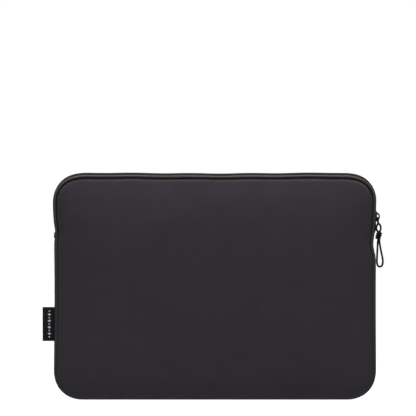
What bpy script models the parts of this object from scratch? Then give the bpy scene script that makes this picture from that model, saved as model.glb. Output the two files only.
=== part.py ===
"""A zipped, padded laptop sleeve, standing upright on its long edge.

X runs to the right, +Z is up and the front faces -Y. The origin is the middle of the flat bottom.
"""

import math

import bpy
import bmesh
from mathutils import Vector

MM = 0.001

# Driving dimensions, in metres
WIDTH = 344 * MM
HEIGHT = 242 * MM
THICKNESS = 26 * MM
CORNER = 33 * MM            # reach of each soft corner
CORNER_POWER = 2.3          # 2 is a circle, more is squarer
CORNER_STEPS = 12
GAP = 0.3 * MM              # clearance between touching pieces

# Layers of the padded walls, from the outer face inwards
OUTER_FABRIC = 1.0 * MM
FOAM = 2.7 * MM
LINING = 0.6 * MM
WALL_INSET = 4.8 * MM       # edge of the layers, in from the outline
BOTTOM_INSET = 1.4 * MM

# Edge pieces: insets run inwards from the outline, half widths from the middle plane
PIPING_RADIUS = 1.4 * MM
PIPING_INSET = 3.0 * MM
PIPING_Y = 10.2 * MM
GUSSET_THICK = 1.0 * MM
EDGE_HALF = 8.2 * MM        # half width of the gusset and the zip
TEETH_OUTER = 0.1 * MM
TEETH_INNER = 1.5 * MM
TEETH_Y = (0.9 * MM, 3.1 * MM)
TAPE_OUTER = 1.8 * MM
TAPE_INNER = 2.4 * MM
BINDING_INSET = (2.8 * MM, 4.6 * MM)
BINDING_Y = (4.8 * MM, 7.7 * MM)

# Heights along the sides
FOLD_LEFT = 178.5 * MM      # the mouth's fold line, at the left and right edges
FOLD_RIGHT = 205.0 * MM
ZIP_LEFT = 178.1 * MM       # ends of the zip tape
ZIP_RIGHT = 164.0 * MM
TEETH_RIGHT = 177.2 * MM
LEFT_TAB_LOW = 172.6 * MM
RIGHT_TAB_LOW = 158.0 * MM
STOP_LENGTH = 2.2 * MM
TAB_HALF_WIDTH = 5.0 * MM
LEFT_TAB_PROUD = 1.0 * MM   # the left end tab is folded thicker and stands out

# Slider, crown and cord pull
SLIDER_Z = 195.1 * MM
SLIDER_LENGTH = 11.0 * MM
SLIDER_HALF_WIDTH = 4.2 * MM
PLATE_THICK = 0.9 * MM
NECK_HALF_WIDTH = 0.5 * MM
NECK_LENGTH = 3.2 * MM
CROWN_WIRE = 0.55 * MM
CROWN_HALF_LENGTH = 3.3 * MM
CROWN_REACH = 2.4 * MM
CROWN_SQUARENESS = 0.7      # under 1 makes the bridge's sides steeper than a half circle
CROWN_STEPS = 16
CORD_RADIUS = 0.75 * MM
CORD_SPACING = 1.6 * MM     # distance between points along the cord
KNOT_CENTRE = (175.4 * MM, 0.0, 174.0 * MM)
KNOT_RADII = (3.0 * MM, 2.6 * MM, 4.1 * MM)

# Side label
LABEL_LOW = 62.5 * MM
LABEL_HIGH = 98.7 * MM
LABEL_REACH = 11.4 * MM
LABEL_Y = 8.95 * MM
LABEL_THICK = 0.7 * MM
LABEL_SEWN_IN = 1.0 * MM    # how far the label runs inside the outline

HALF_W = WIDTH / 2
HALF_T = THICKNESS / 2
FOAM_Y = HALF_T - OUTER_FABRIC - GAP
LINING_Y = FOAM_Y - FOAM - GAP

# Route of the cord pull, by hand, from the knot's top through the crown and back
EYE_ROUTE = [
    (174.3, -0.4, 178.9), (173.6, -0.8, 181.2), (173.3, -1.3, 184.2), (173.5, -1.9, 187.6),
    (174.05, -2.4, 190.3), (174.15, -2.35, 192.2), (174.15, -1.5, 193.7), (174.15, 0.0, 194.25),
    (174.15, 1.5, 193.7), (174.15, 2.35, 192.2), (174.5, 2.3, 190.0), (175.9, 1.8, 187.6),
    (177.1, 1.2, 185.3), (177.5, 0.8, 182.9), (177.2, 0.6, 180.8), (176.6, 0.4, 178.9),
]
EYE_TOP = 7                 # the point of the eye that hangs on the crown
# The hanging loop, from the knot's underside down and back
LOOP_ROUTE = [
    (174.5, 0.0, 169.1), (174.1, 0.0, 165.0), (173.6, 0.0, 158.0), (173.2, 0.0, 151.5),
    (173.1, 0.0, 147.0), (173.6, 0.0, 143.8), (174.9, 0.0, 141.7), (176.5, 0.0, 141.1),
    (178.1, 0.0, 141.9), (179.3, 0.0, 144.2), (179.6, 0.0, 148.0), (179.1, 0.0, 153.0),
    (178.0, 0.0, 160.0), (176.9, 0.0, 165.5), (176.4, 0.0, 169.1),
]


def clear_scene():
    for obj in list(bpy.data.objects):
        bpy.data.objects.remove(obj, do_unlink=True)


def make_material(name, color, roughness, metallic=0.0):
    material = bpy.data.materials.new(name)
    material.use_nodes = True
    shader = material.node_tree.nodes["Principled BSDF"]
    shader.inputs["Base Color"].default_value = (*color, 1.0)
    shader.inputs["Roughness"].default_value = roughness
    shader.inputs["Metallic"].default_value = metallic
    return material


def add_object(name, data, material):
    obj = bpy.data.objects.new(name, data)
    data.materials.append(material)
    parts.objects.link(obj)
    return obj


def corner_arc(inset):
    """Quarter of a superellipse as (x, z) offsets from the corner's centre, side to top.

    The first and last facets are two steps long, so the flat underside ends in a clear edge.
    """
    reach = CORNER - inset
    points = []
    for i in range(CORNER_STEPS + 1):
        if i in (1, CORNER_STEPS - 1):
            continue
        angle = math.pi / 2 * i / CORNER_STEPS
        x = reach * math.cos(angle) ** (2 / CORNER_POWER) if i < CORNER_STEPS else 0.0
        z = reach * math.sin(angle) ** (2 / CORNER_POWER)
        points.append((x, z))
    return points


def upper_run(inset, z_left, z_right):
    """Edge line from the left side, over the top, to the right side."""
    cx, cz = HALF_W - CORNER, HEIGHT - CORNER
    arc = corner_arc(inset)
    left = [(-cx - x, cz + z) for x, z in arc]
    right = [(cx + x, cz + z) for x, z in reversed(arc)]
    return [(-HALF_W + inset, z_left)] + left + right + [(HALF_W - inset, z_right)]


def lower_run(inset, z_left, z_right):
    """Edge line from the left side, round the bottom, to the right side."""
    cx, cz = HALF_W - CORNER, CORNER
    arc = corner_arc(inset)
    left = [(-cx - x, cz - z) for x, z in arc]
    right = [(cx + x, cz - z) for x, z in reversed(arc)]
    return [(-HALF_W + inset, z_left)] + left + right + [(HALF_W - inset, z_right)]


def panel_outline(inset, bottom_inset):
    """Closed outline of a wall layer, whose lower edge has its own inset."""
    middle = HEIGHT / 2
    upper = upper_run(inset, middle, middle)
    lower = lower_run(inset, middle, middle)
    lift = bottom_inset - inset
    lower = [(x, z + lift * max(0.0, 1 - z / CORNER)) for x, z in lower]
    return upper[:-1] + list(reversed(lower))[:-1]


def fold_height(x):
    return FOLD_LEFT + (FOLD_RIGHT - FOLD_LEFT) * (x + HALF_W) / WIDTH


def clip_at_fold(outline, above):
    """The part of a closed outline above or below the fold line, half a gap away from it."""
    sign = 1 if above else -1

    def height(point):
        return sign * (point[1] - fold_height(point[0])) - GAP / 2

    kept = []
    for a, b in zip(outline, outline[1:] + outline[:1]):
        ha, hb = height(a), height(b)
        if ha >= 0:
            kept.append(a)
        if (ha >= 0) != (hb >= 0):
            t = ha / (ha - hb)
            kept.append((a[0] + t * (b[0] - a[0]), a[1] + t * (b[1] - a[1])))
    return kept


def flat_solid(name, outline, y_low, y_high, material):
    """A flat outline in the XZ plane, as thick as the span between two Y values."""
    curve = bpy.data.curves.new(name, "CURVE")
    curve.dimensions = "2D"
    curve.fill_mode = "BOTH"
    curve.extrude = (y_high - y_low) / 2
    spline = curve.splines.new("POLY")
    spline.points.add(len(outline) - 1)
    for point, (x, z) in zip(spline.points, reversed(outline)):
        point.co = (x, z, 0.0, 1.0)
    spline.use_cyclic_u = True
    obj = add_object(name, curve, material)
    obj.rotation_euler = (math.pi / 2, 0, 0)
    obj.location = (0, (y_low + y_high) / 2, 0)
    return obj


def ribbon(name, run, insets, z_left, z_right, y_span, material):
    """A strip that follows the edge between two insets."""
    outer = run(insets[0], z_left, z_right)
    inner = run(insets[1], z_left, z_right)
    return flat_solid(name, outer + inner[::-1], y_span[0], y_span[1], material)


def smooth_route(points, spacing):
    """Points about one spacing apart on a smooth curve through a route's own points."""
    route = [Vector(p) for p in points]
    ends = [2 * route[0] - route[1]] + route + [2 * route[-1] - route[-2]]
    result = []
    for p0, p1, p2, p3 in zip(ends, ends[1:], ends[2:], ends[3:]):
        steps = max(1, round((p2 - p1).length / spacing))
        for i in range(steps):
            t = i / steps
            result.append(0.5 * (2 * p1 + (p2 - p0) * t + (2 * p0 - 5 * p1 + 4 * p2 - p3) * t * t
                                 + (3 * p1 - p0 - 3 * p2 + p3) * t ** 3))
    result.append(route[-1])
    return result


def tube(name, points, radius, material, origin=(0, 0, 0), closed=False):
    """A round cord or wire along points, with its object's origin at a joint or at zero."""
    curve = bpy.data.curves.new(name, "CURVE")
    curve.dimensions = "3D"
    curve.bevel_depth = radius
    curve.bevel_resolution = 2
    curve.use_fill_caps = True
    spline = curve.splines.new("POLY")
    spline.points.add(len(points) - 1)
    for point, co in zip(spline.points, points):
        point.co = (*(Vector(co) - Vector(origin)), 1.0)
    spline.use_cyclic_u = closed
    spline.use_smooth = True
    obj = add_object(name, curve, material)
    obj.location = origin
    return obj


def box_mesh(name, low, high, origin):
    mesh = bpy.data.meshes.new(name)
    bm = bmesh.new()
    bmesh.ops.create_cube(bm, size=1.0)
    for vert in bm.verts:
        for axis in range(3):
            middle = (low[axis] + high[axis]) / 2 - origin[axis]
            vert.co[axis] = middle + vert.co[axis] * (high[axis] - low[axis])
    bm.to_mesh(mesh)
    bm.free()
    return mesh


def build_walls(name, prefix, side, above=None):
    """Outer fabric, foam and lining of one wall; side is -1 at the front and 1 at the back."""
    layers = [
        ("outer_panel", HALF_T, OUTER_FABRIC, BOTTOM_INSET, fabrics["outer"]),
        ("foam_pad", FOAM_Y, FOAM, WALL_INSET, fabrics["foam"]),
        ("lining", LINING_Y, LINING, BOTTOM_INSET, fabrics["lining"]),
    ]
    for layer, outer_y, thick, bottom_inset, material in layers:
        outline = panel_outline(WALL_INSET, bottom_inset)
        if above is not None:
            outline = clip_at_fold(outline, above)
        y_span = sorted((side * outer_y, side * (outer_y - thick)))
        flat_solid(f"{prefix}_{layer}", outline, *y_span, material)


def build_piping():
    def at_front(run):
        return [(x, -PIPING_Y, z) for x, z in run]

    fabric = fabrics["piping"]
    upper = upper_run(PIPING_INSET, HEIGHT / 2, HEIGHT / 2)
    lower = lower_run(PIPING_INSET, HEIGHT / 2, HEIGHT / 2)
    ring = upper[:-1] + lower[::-1][:-1]
    tube("back_piping", [(x, PIPING_Y, z) for x, z in ring], PIPING_RADIUS, fabric, closed=True)
    below = lower_run(PIPING_INSET, FOLD_LEFT - GAP, FOLD_RIGHT - GAP)
    above = upper_run(PIPING_INSET, FOLD_LEFT + GAP, FOLD_RIGHT + GAP)
    tube("front_piping", at_front(below), PIPING_RADIUS, fabric)
    tube("flap_piping", at_front(above), PIPING_RADIUS, fabric)


def build_gusset_and_binding():
    insets = (0.0, GUSSET_THICK)
    ribbon("side_gusset", lower_run, insets, LEFT_TAB_LOW - GAP, RIGHT_TAB_LOW - GAP,
           (-EDGE_HALF, EDGE_HALF), fabrics["outer"])
    front = (-BINDING_Y[1], -BINDING_Y[0])
    tape = fabrics["binding"]
    ring_outer = panel_outline(BINDING_INSET[0], BINDING_INSET[0])
    back = flat_solid("back_seam_binding", ring_outer, *BINDING_Y, tape)
    hole = panel_outline(BINDING_INSET[1], BINDING_INSET[1])
    spline = back.data.splines.new("POLY")
    spline.points.add(len(hole) - 1)
    for point, (x, z) in zip(spline.points, reversed(hole)):
        point.co = (x, z, 0.0, 1.0)
    spline.use_cyclic_u = True
    ribbon("front_seam_binding", lower_run, BINDING_INSET, FOLD_LEFT - GAP, FOLD_RIGHT - GAP, front, tape)
    ribbon("flap_seam_binding", upper_run, BINDING_INSET, FOLD_LEFT + GAP, FOLD_RIGHT + GAP, front, tape)


def straight_strip(name, side_x, insets, z_span, y_span, material):
    """A flat piece on the straight part of one side: side_x is -1 at the left and 1 at the right."""
    x_span = sorted((side_x * (HALF_W - insets[0]), side_x * (HALF_W - insets[1])))
    low, high = z_span
    outline = [(x_span[0], low), (x_span[0], high), (x_span[1], high), (x_span[1], low)]
    return flat_solid(name, outline, *y_span, material)


def build_zip():
    tape, coil = fabrics["tape"], fabrics["coil"]
    tape_insets = (TAPE_OUTER, TAPE_INNER)
    coil_insets = (TEETH_OUTER, TEETH_INNER)
    back_tape, front_tape = (TEETH_Y[0], EDGE_HALF), (-EDGE_HALF, -TEETH_Y[0])
    back_coil, front_coil = TEETH_Y, (-TEETH_Y[1], -TEETH_Y[0])
    coil_left = FOLD_LEFT + STOP_LENGTH + 2 * GAP
    ribbon("back_zip_tape", upper_run, tape_insets, ZIP_LEFT, ZIP_RIGHT, back_tape, tape)
    ribbon("back_zip_teeth", upper_run, coil_insets, coil_left, TEETH_RIGHT, back_coil, coil)
    ribbon("flap_zip_tape", upper_run, tape_insets, FOLD_LEFT + GAP, FOLD_RIGHT + GAP, front_tape, tape)
    ribbon("flap_zip_teeth", upper_run, coil_insets, coil_left, FOLD_RIGHT + GAP, front_coil, coil)
    straight_strip("front_zip_tape", 1, tape_insets, (ZIP_RIGHT, FOLD_RIGHT - GAP), front_tape, tape)
    straight_strip("front_zip_teeth", 1, coil_insets, (TEETH_RIGHT, FOLD_RIGHT - GAP), front_coil, coil)
    stop_top = TEETH_RIGHT - GAP
    both_rows = (-TEETH_Y[1], TEETH_Y[1])
    straight_strip("zip_bottom_stop", 1, coil_insets, (stop_top - STOP_LENGTH, stop_top), both_rows,
                   metals["stop"])
    stop_z = (FOLD_LEFT + GAP, FOLD_LEFT + GAP + STOP_LENGTH)
    straight_strip("back_top_stop", -1, coil_insets, stop_z, back_coil, metals["stop"])
    straight_strip("flap_top_stop", -1, coil_insets, stop_z, front_coil, metals["stop"])


def build_end_tabs_and_label():
    tab = fabrics["tab"]
    tab_y = (-TAB_HALF_WIDTH, TAB_HALF_WIDTH)
    left_z, right_z = (LEFT_TAB_LOW, ZIP_LEFT - GAP), (RIGHT_TAB_LOW, ZIP_RIGHT - GAP)
    straight_strip("left_end_tab", -1, (-LEFT_TAB_PROUD, GUSSET_THICK), left_z, tab_y, tab)
    straight_strip("right_end_tab", 1, (0.0, GUSSET_THICK), right_z, tab_y, tab)
    label_y = (-LABEL_Y - LABEL_THICK / 2, -LABEL_Y + LABEL_THICK / 2)
    straight_strip("side_label", -1, (-LABEL_REACH, LABEL_SEWN_IN), (LABEL_LOW, LABEL_HIGH), label_y,
                   fabrics["label"])


def build_slider():
    """Two plates and the neck between the rows, joined into one casting."""
    origin = Vector((HALF_W, 0, SLIDER_Z))
    half = SLIDER_LENGTH / 2
    low_z, high_z = SLIDER_Z - half, SLIDER_Z + half
    outer_x = HALF_W + GAP - TEETH_OUTER
    inner_x = HALF_W - TAPE_INNER - GAP
    width = SLIDER_HALF_WIDTH
    outer_plate = ((outer_x, -width, low_z), (outer_x + PLATE_THICK, width, high_z))
    body = add_object("slider_body", box_mesh("slider_body", *outer_plate, origin), metals["slider"])
    body.location = origin
    pieces = {
        "inner_plate": ((inner_x - PLATE_THICK, -width, low_z), (inner_x, width, high_z)),
        "neck": ((inner_x - PLATE_THICK / 2, -NECK_HALF_WIDTH, high_z - NECK_LENGTH),
                 (outer_x + PLATE_THICK / 2, NECK_HALF_WIDTH, high_z - PLATE_THICK / 2)),
    }
    for name, (low, high) in pieces.items():
        cutter = bpy.data.objects.new(name, box_mesh(name, low, high, origin))
        cutter.location = origin
        cutter.hide_render = True
        cutter.display_type = "WIRE"
        cutters.objects.link(cutter)
        union = body.modifiers.new(name, "BOOLEAN")
        union.operation = "UNION"
        union.object = cutter
    foot_x = outer_x + PLATE_THICK + GAP
    arch = []
    for i in range(CROWN_STEPS + 1):
        angle = math.pi * (i / CROWN_STEPS - 0.5)
        reach = CROWN_REACH * max(0.0, math.cos(angle)) ** CROWN_SQUARENESS
        arch.append((foot_x + reach, 0.0, SLIDER_Z + CROWN_HALF_LENGTH * math.sin(angle)))
    tube("slider_crown", arch, CROWN_WIRE, metals["slider"], origin)


def build_pull():
    pivot = (EYE_ROUTE[EYE_TOP][0] * MM, 0.0, EYE_ROUTE[EYE_TOP][2] * MM)
    for name, route in (("pull_eye", EYE_ROUTE), ("pull_loop", LOOP_ROUTE)):
        points = smooth_route([[c * MM for c in p] for p in route], CORD_SPACING)
        tube(name, points, CORD_RADIUS, fabrics["cord"], pivot)
    mesh = bpy.data.meshes.new("pull_knot")
    bm = bmesh.new()
    bmesh.ops.create_uvsphere(bm, u_segments=24, v_segments=14, radius=1.0)
    for vert in bm.verts:
        for axis in range(3):
            vert.co[axis] = vert.co[axis] * KNOT_RADII[axis] + KNOT_CENTRE[axis] - pivot[axis]
    bm.to_mesh(mesh)
    bm.free()
    mesh.shade_smooth()
    knot = add_object("pull_knot", mesh, fabrics["cord"])
    knot.location = pivot


def set_origins_on_fold():
    """Flap pieces turn about the fold line on the front face, so their origins sit on it."""
    pivot = Vector((0, -HALF_T, fold_height(0)))
    hinge = bpy.data.objects.new("mouth_fold", None)
    hinge.location = pivot
    parts.objects.link(hinge)
    for obj in parts.objects:
        if obj.name.startswith("flap_"):
            obj.parent = hinge
            obj.location -= pivot


clear_scene()
parts = bpy.data.collections.new("laptop_sleeve")
cutters = bpy.data.collections.new("laptop_sleeve_cutters")
bpy.context.scene.collection.children.link(parts)
bpy.context.scene.collection.children.link(cutters)

fabrics = {
    "outer": make_material("outer_fabric", (0.030, 0.029, 0.031), 0.85),
    "foam": make_material("foam", (0.08, 0.08, 0.08), 0.9),
    "lining": make_material("lining", (0.045, 0.045, 0.048), 0.8),
    "piping": make_material("piping", (0.075, 0.072, 0.070), 0.75),
    "binding": make_material("binding", (0.03, 0.03, 0.03), 0.8),
    "tape": make_material("zip_tape", (0.022, 0.022, 0.022), 0.8),
    "coil": make_material("zip_coil", (0.018, 0.018, 0.018), 0.4),
    "tab": make_material("end_tab", (0.03, 0.03, 0.028), 0.8),
    "label": make_material("label", (0.012, 0.012, 0.013), 0.7),
    "cord": make_material("cord", (0.015, 0.014, 0.013), 0.7),
}
metals = {
    "slider": make_material("slider_metal", (0.03, 0.03, 0.03), 0.3, 1.0),
    "stop": make_material("stop_metal", (0.03, 0.03, 0.03), 0.35, 1.0),
}

build_walls("back", "back", 1)
build_walls("front", "front", -1, above=False)
build_walls("flap", "flap", -1, above=True)
build_piping()
build_gusset_and_binding()
build_zip()
build_end_tabs_and_label()
build_slider()
build_pull()
set_origins_on_fold()
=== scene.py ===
import math

import bpy
from mathutils import Matrix, Vector, noise
from mathutils.bvhtree import BVHTree


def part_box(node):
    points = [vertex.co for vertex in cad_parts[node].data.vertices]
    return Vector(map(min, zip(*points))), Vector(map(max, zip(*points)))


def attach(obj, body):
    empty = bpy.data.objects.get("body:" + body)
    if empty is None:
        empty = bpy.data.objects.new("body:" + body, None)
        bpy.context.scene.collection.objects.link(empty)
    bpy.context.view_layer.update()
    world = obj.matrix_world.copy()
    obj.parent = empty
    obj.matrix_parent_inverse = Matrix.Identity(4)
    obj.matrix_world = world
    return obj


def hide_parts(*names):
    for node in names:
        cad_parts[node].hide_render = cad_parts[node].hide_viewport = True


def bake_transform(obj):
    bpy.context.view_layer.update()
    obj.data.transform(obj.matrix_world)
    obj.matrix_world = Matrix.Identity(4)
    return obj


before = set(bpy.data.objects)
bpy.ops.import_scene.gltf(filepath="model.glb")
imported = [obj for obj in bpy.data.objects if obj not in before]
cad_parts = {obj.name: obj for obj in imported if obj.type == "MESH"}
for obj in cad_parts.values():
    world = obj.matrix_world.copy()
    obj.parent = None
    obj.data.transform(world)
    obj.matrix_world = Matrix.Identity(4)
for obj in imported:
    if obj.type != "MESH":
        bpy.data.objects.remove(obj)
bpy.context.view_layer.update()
print("frame loaded")

mm = 0.001

# The body's outline, the same as the frame's: a rectangle with soft corners
body = {
    "halfWidth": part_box("side_gusset")[1][0],
    "height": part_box("back_zip_teeth")[1][2] + 0.1 * mm,
    "cornerReach": 33 * mm,
    "cornerPower": 2.3,
    "foldLeft": 178.5 * mm,
    "foldRight": 205.0 * mm,
    "frontFace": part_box("front_outer_panel")[0][1],
}

cornerProfile = 2 ** (-2 / body["cornerPower"])  # the bevel profile of the same soft corner

# Where the soft edge gives way: depth, height and reach of each dip
give = {
    "right": [(2.0 * mm, 164 * mm, 9 * mm), (1.3 * mm, 175 * mm, 14 * mm), (0.5 * mm, 105 * mm, 75 * mm),
              (-0.5 * mm, 217 * mm, 14 * mm)],
    "left": [(1.2 * mm, 178 * mm, 8 * mm), (1.1 * mm, 110 * mm, 75 * mm), (-1.1 * mm, 209 * mm, 19 * mm)],
    "topDip": 0.7 * mm,
    "topDipReach": 80 * mm,
    "topWave": 0.25 * mm,
    "topWaveLength": 62 * mm,
    "cornerDip": 0.5 * mm,
    "cornerAt": 148 * mm,
    "cornerReach": 11 * mm,
    "straightLow": 176 * mm,
    "straightHigh": 214 * mm,
    "straightWidth": 5.5 * mm,
}


def deselectAll():
    if bpy.context.object and bpy.context.object.mode != "OBJECT":
        bpy.ops.object.mode_set(mode="OBJECT")
    bpy.ops.object.select_all(action="DESELECT")


def pick(piece):
    deselectAll()
    piece.select_set(True)
    bpy.context.view_layer.objects.active = piece


def placeInMesh(piece):
    pick(piece)
    bpy.ops.object.transform_apply(location=True, rotation=True, scale=True)


def applyModifiers(piece):
    pick(piece)
    for modifier in list(piece.modifiers):
        bpy.ops.object.modifier_apply(modifier=modifier.name)


def joinPieces(pieces, name):
    deselectAll()
    for piece in pieces:
        piece.select_set(True)
    bpy.context.view_layer.objects.active = pieces[0]
    bpy.ops.object.join()
    joined = bpy.context.object
    joined.name = name
    return joined


def smoothShade(piece, angle=40):
    pick(piece)
    bpy.ops.object.shade_smooth_by_angle(angle=math.radians(angle))


def smoothStep(low, high, value):
    t = min(1.0, max(0.0, (value - low) / (high - low)))
    return t * t * (3 - 2 * t)


def cornerPoint(inset, angle):
    reach = body["cornerReach"] - inset
    power = 2 / body["cornerPower"]
    return reach * max(0.0, math.cos(angle)) ** power, reach * max(0.0, math.sin(angle)) ** power


# Points at even spacing along the outline, over the top or round the bottom, with outward normals
def edgePath(inset, leftHeight, rightHeight, over, spacing):
    halfWidth, height, reach = body["halfWidth"], body["height"], body["cornerReach"]
    cx = halfWidth - reach
    cz = height - reach if over else reach
    up = 1 if over else -1
    rough = [(-halfWidth + inset, leftHeight)]
    arc = [cornerPoint(inset, math.pi / 2 * i / 24) for i in range(25)]
    rough += [(-cx - x, cz + up * z) for x, z in arc]
    rough += [(cx + x, cz + up * z) for x, z in reversed(arc)]
    rough.append((halfWidth - inset, rightHeight))
    points = [Vector((x, 0, z)) for x, z in rough]
    lengths = [0.0]
    for a, b in zip(points, points[1:]):
        lengths.append(lengths[-1] + (b - a).length)
    count = int(lengths[-1] / spacing)
    result = []
    for i in range(count + 1):
        along = lengths[-1] * i / count
        k = min(len(points) - 2, next((j for j in range(1, len(lengths)) if lengths[j] >= along), 1) - 1)
        part = (along - lengths[k]) / max(1e-9, lengths[k + 1] - lengths[k])
        tangent = (points[k + 1] - points[k]).normalized()
        outward = Vector((-tangent.z, 0, tangent.x)) * up
        result.append((points[k].lerp(points[k + 1], part), tangent, outward))
    return result


# How far a point of the soft body moves from the tidy outline
def softGive(co):
    side = smoothStep(body["halfWidth"] - 60 * mm, body["halfWidth"] - 4 * mm, abs(co.x))
    dips = give["right"] if co.x > 0 else give["left"]
    inward = sum(depth * math.exp(-((co.z - at) / reach) ** 2) for depth, at, reach in dips)
    # the zip stays straight where the slider runs on it
    run = smoothStep(give["straightLow"], give["straightLow"] + 5 * mm, co.z)
    run *= smoothStep(give["straightHigh"], give["straightHigh"] - 5 * mm, co.z)
    if co.x > 0:
        inward *= 1 - run * smoothStep(give["straightWidth"] + 2 * mm, give["straightWidth"], abs(co.y))
    top = smoothStep(body["height"] - 70 * mm, body["height"] - 2 * mm, co.z)
    dip = give["topDip"] * math.exp(-(co.x / give["topDipReach"]) ** 2)
    dip += give["topWave"] * math.sin(2 * math.pi * co.x / give["topWaveLength"] + 1.0)
    dip *= smoothStep(body["halfWidth"], body["halfWidth"] - 50 * mm, abs(co.x))
    dip += give["cornerDip"] * math.exp(-((abs(co.x) - give["cornerAt"]) / give["cornerReach"]) ** 2)
    return Vector((-inward * side * math.copysign(1, co.x), 0, -dip * top))


def giveWay(piece):
    for vert in piece.data.vertices:
        vert.co += softGive(vert.co)
    piece.data.update()


# A point on the mouth's fold line, and the direction up into the flap
def foldPlane():
    rise = body["foldRight"] - body["foldLeft"]
    point = Vector((0, body["frontFace"], (body["foldRight"] + body["foldLeft"]) / 2))
    return point, Vector((-rise, 0, 2 * body["halfWidth"])).normalized()


# Bakes a piece's placement into its mesh
def bendOver(piece):
    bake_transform(piece)


# The outline as a closed wire at one inset
def edgeWire(name, inset, y, spacing=5 * mm):
    deselectAll()
    low, high = inset, body["height"] - inset
    bpy.ops.mesh.primitive_plane_add(size=1, location=(0, y, (low + high) / 2), rotation=(math.pi / 2, 0, 0))
    wire = bpy.context.object
    wire.name = name
    wire.scale = (2 * (body["halfWidth"] - inset), high - low, 1)
    placeInMesh(wire)
    # soft corners, then even points along the four straight runs
    bpy.ops.object.mode_set(mode="EDIT")
    bpy.ops.mesh.select_all(action="SELECT")
    bpy.ops.mesh.bevel(offset=body["cornerReach"] - inset, segments=18, profile=cornerProfile,
                       affect="VERTICES")
    bpy.ops.mesh.delete(type="ONLY_FACE")
    for longWay in (True, False):
        bpy.ops.mesh.select_all(action="DESELECT")
        bpy.ops.object.mode_set(mode="OBJECT")
        lengths = []
        for edge in wire.data.edges:
            a, b = (wire.data.vertices[i].co for i in edge.vertices)
            isLong = (b - a).length > 60 * mm and (abs(b.x - a.x) > abs(b.z - a.z)) == longWay
            edge.select = isLong
            if isLong:
                lengths.append((b - a).length)
        bpy.ops.object.mode_set(mode="EDIT")
        bpy.ops.mesh.select_mode(type="EDGE")
        bpy.ops.mesh.subdivide(number_cuts=int(max(lengths) / spacing))
    bpy.ops.mesh.select_mode(type="VERT")
    bpy.ops.object.mode_set(mode="OBJECT")
    return wire


# Keeps what is on the normal's side of a plane
def cutAt(piece, point, normal):
    pick(piece)
    bpy.ops.object.mode_set(mode="EDIT")
    bpy.ops.mesh.select_all(action="SELECT")
    bpy.ops.mesh.bisect(plane_co=point, plane_no=normal, clear_inner=True)
    bpy.ops.object.mode_set(mode="OBJECT")


def cutBetween(piece, leftHeight, rightHeight, above):
    rise = rightHeight - leftHeight
    normal = Vector((-rise, 0, 2 * body["halfWidth"])).normalized()
    middle = Vector((0, 0, (leftHeight + rightHeight) / 2))
    cutAt(piece, middle, normal if above else -normal)


# A wire becomes a round tube, as a curve with a bevel and then a mesh
def wireToTube(wire, radius, sides=3):
    pick(wire)
    bpy.ops.object.convert(target="CURVE")
    tube = bpy.context.object
    tube.data.bevel_depth = radius
    tube.data.bevel_resolution = sides
    tube.data.use_fill_caps = True
    for spline in tube.data.splines:
        spline.use_smooth = True
    bpy.ops.object.convert(target="MESH")
    tube = bpy.context.object
    bpy.ops.object.mode_set(mode="EDIT")
    bpy.ops.mesh.select_all(action="SELECT")
    bpy.ops.mesh.remove_doubles(threshold=0.00001)
    bpy.ops.mesh.normals_make_consistent(inside=False)
    bpy.ops.object.mode_set(mode="OBJECT")
    return tube


# A wire drawn out along Y into a strip, then given its thickness
def wireToStrip(wire, width, steps, thickness):
    pick(wire)
    bpy.ops.object.mode_set(mode="EDIT")
    bpy.ops.mesh.select_all(action="SELECT")
    for i in range(steps):
        bpy.ops.mesh.extrude_region_move(TRANSFORM_OT_translate={"value": (0, width / steps, 0)})
    bpy.ops.mesh.select_all(action="SELECT")
    bpy.ops.mesh.normals_make_consistent(inside=False)
    bpy.ops.object.mode_set(mode="OBJECT")
    wall = wire.modifiers.new("wall", "SOLIDIFY")
    wall.thickness = thickness
    wall.offset = 0
    applyModifiers(wire)
    return wire


# Moves a strip outwards from the body's centre line, by a profile across its width
def shapeStrip(piece, profile):
    halfSpanX = body["halfWidth"] - body["cornerReach"]
    halfSpanZ = body["height"] / 2 - body["cornerReach"]
    middle = body["height"] / 2
    for vert in piece.data.vertices:
        inner = Vector((max(-halfSpanX, min(halfSpanX, vert.co.x)), 0,
                        middle + max(-halfSpanZ, min(halfSpanZ, vert.co.z - middle))))
        outward = Vector((vert.co.x, 0, vert.co.z)) - inner
        if outward.length > 1e-6:
            vert.co += outward.normalized() * profile(abs(vert.co.y))
    piece.data.update()


# An sRGB hex colour as the linear colour that the shader wants
def linear(hexColor):
    values = [int(hexColor[i:i + 2], 16) / 255 for i in (1, 3, 5)]
    return (*[v / 12.92 if v <= 0.04045 else ((v + 0.055) / 1.055) ** 2.4 for v in values], 1.0)


# Adds a node, sets its properties and input values, and links its inputs
def addNode(tree, kind, settings=None, links=None):
    node = tree.nodes.new(kind)
    for key, value in (settings or {}).items():
        if isinstance(key, str) and hasattr(node, key):
            setattr(node, key, value)
        else:
            node.inputs[key].default_value = value
    for key, source in (links or {}).items():
        tree.links.new(source, node.inputs[key])
    return node


def startMaterial(name, color, roughness, **shaderValues):
    material = bpy.data.materials.new(name)
    material.use_nodes = True
    tree = material.node_tree
    shader = tree.nodes["Principled BSDF"]
    shader.inputs["Base Color"].default_value = linear(color)
    shader.inputs["Roughness"].default_value = roughness
    for key, value in shaderValues.items():
        shader.inputs[key].default_value = value
    return material, tree, shader


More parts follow.
